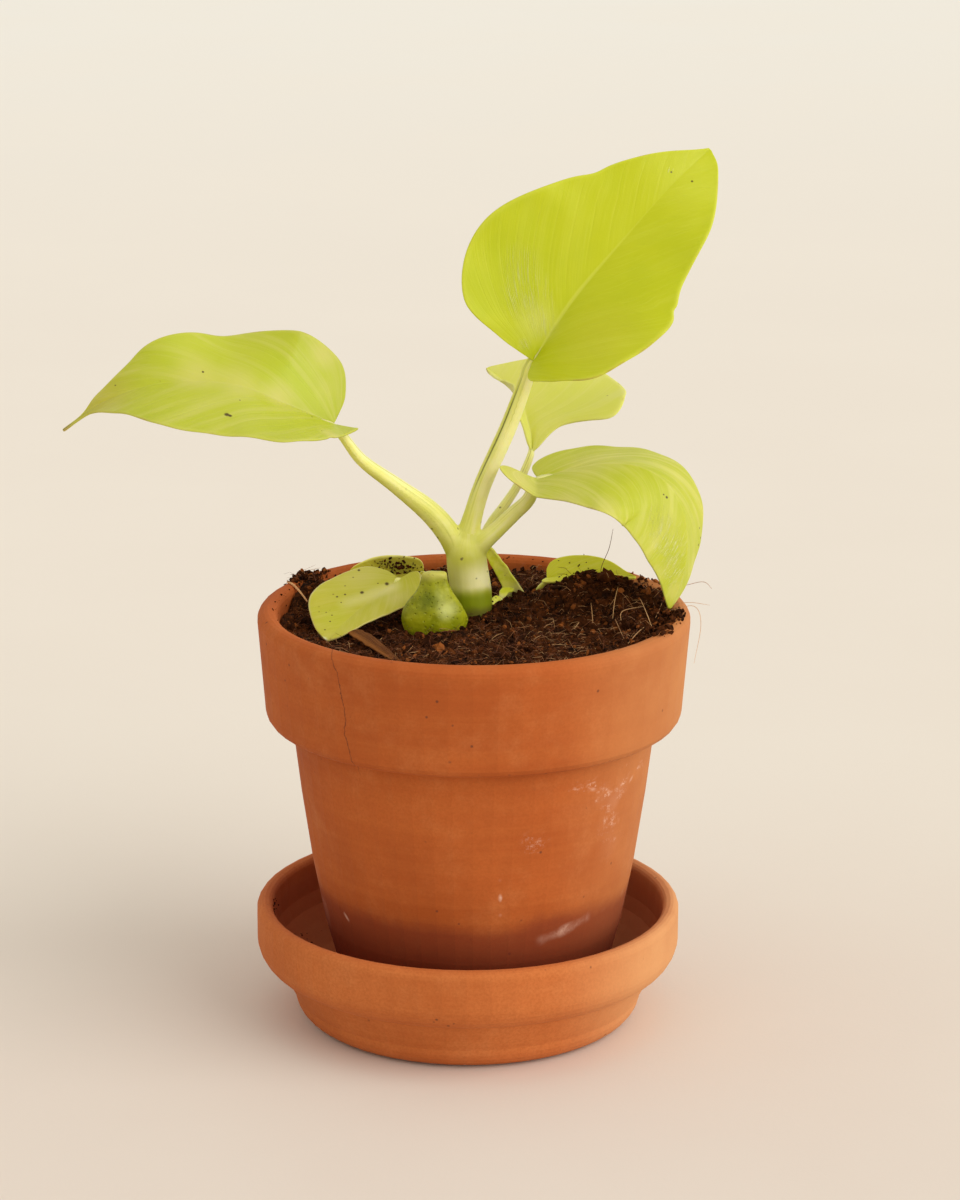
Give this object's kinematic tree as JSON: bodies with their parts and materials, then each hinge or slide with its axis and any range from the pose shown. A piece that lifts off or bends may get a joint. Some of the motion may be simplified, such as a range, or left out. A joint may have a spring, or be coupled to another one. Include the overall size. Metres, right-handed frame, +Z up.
{
  "type": "potted philodendron warszewiczii",
  "caption": "Young philodendron warszewiczii with arching heart-shaped leaves on fleshy stalks, growing in a clay pot that stands in a clay saucer.",
  "frame": {"origin": "centre of the saucer's flat underside, on the surface it stands on", "axes": "+Z up; the pictured front faces -Y, so +Y points away from the viewer and +X to the viewer's right"},
  "size_m": [0.1626, 0.11, 0.2226],
  "materials": {
    "clay": "unglazed terracotta, matt, slightly dusty",
    "soil": "loose dark potting soil with fibres, matt",
    "leaf": "soft young leaf, satin, slightly translucent",
    "stalk": "fleshy pale green stem, satin",
    "old base": "old fleshy leaf base, mottled green, satin",
    "bark": "dry brown bark, rough"
  },
  "bodies": {
    "root": {"saucer": "clay", "pot": "clay", "soil": "soil", "crown": "stalk", "petiole_tall": "stalk", "petiole_left": "stalk", "petiole_right": "stalk", "petiole_back": "stalk", "petiole_low_front": "stalk", "petiole_low_rear": "stalk", "petiole_low_side": "stalk", "leaf_tall": "leaf", "leaf_left": "leaf", "leaf_right": "leaf", "leaf_back": "leaf", "leaf_low_front": "leaf", "leaf_low_rear": "leaf", "leaf_low_side": "leaf", "old_leaf_base": "old base", "old_sheath": "stalk", "bark_strip": "bark"}
  },
  "joints": []
}
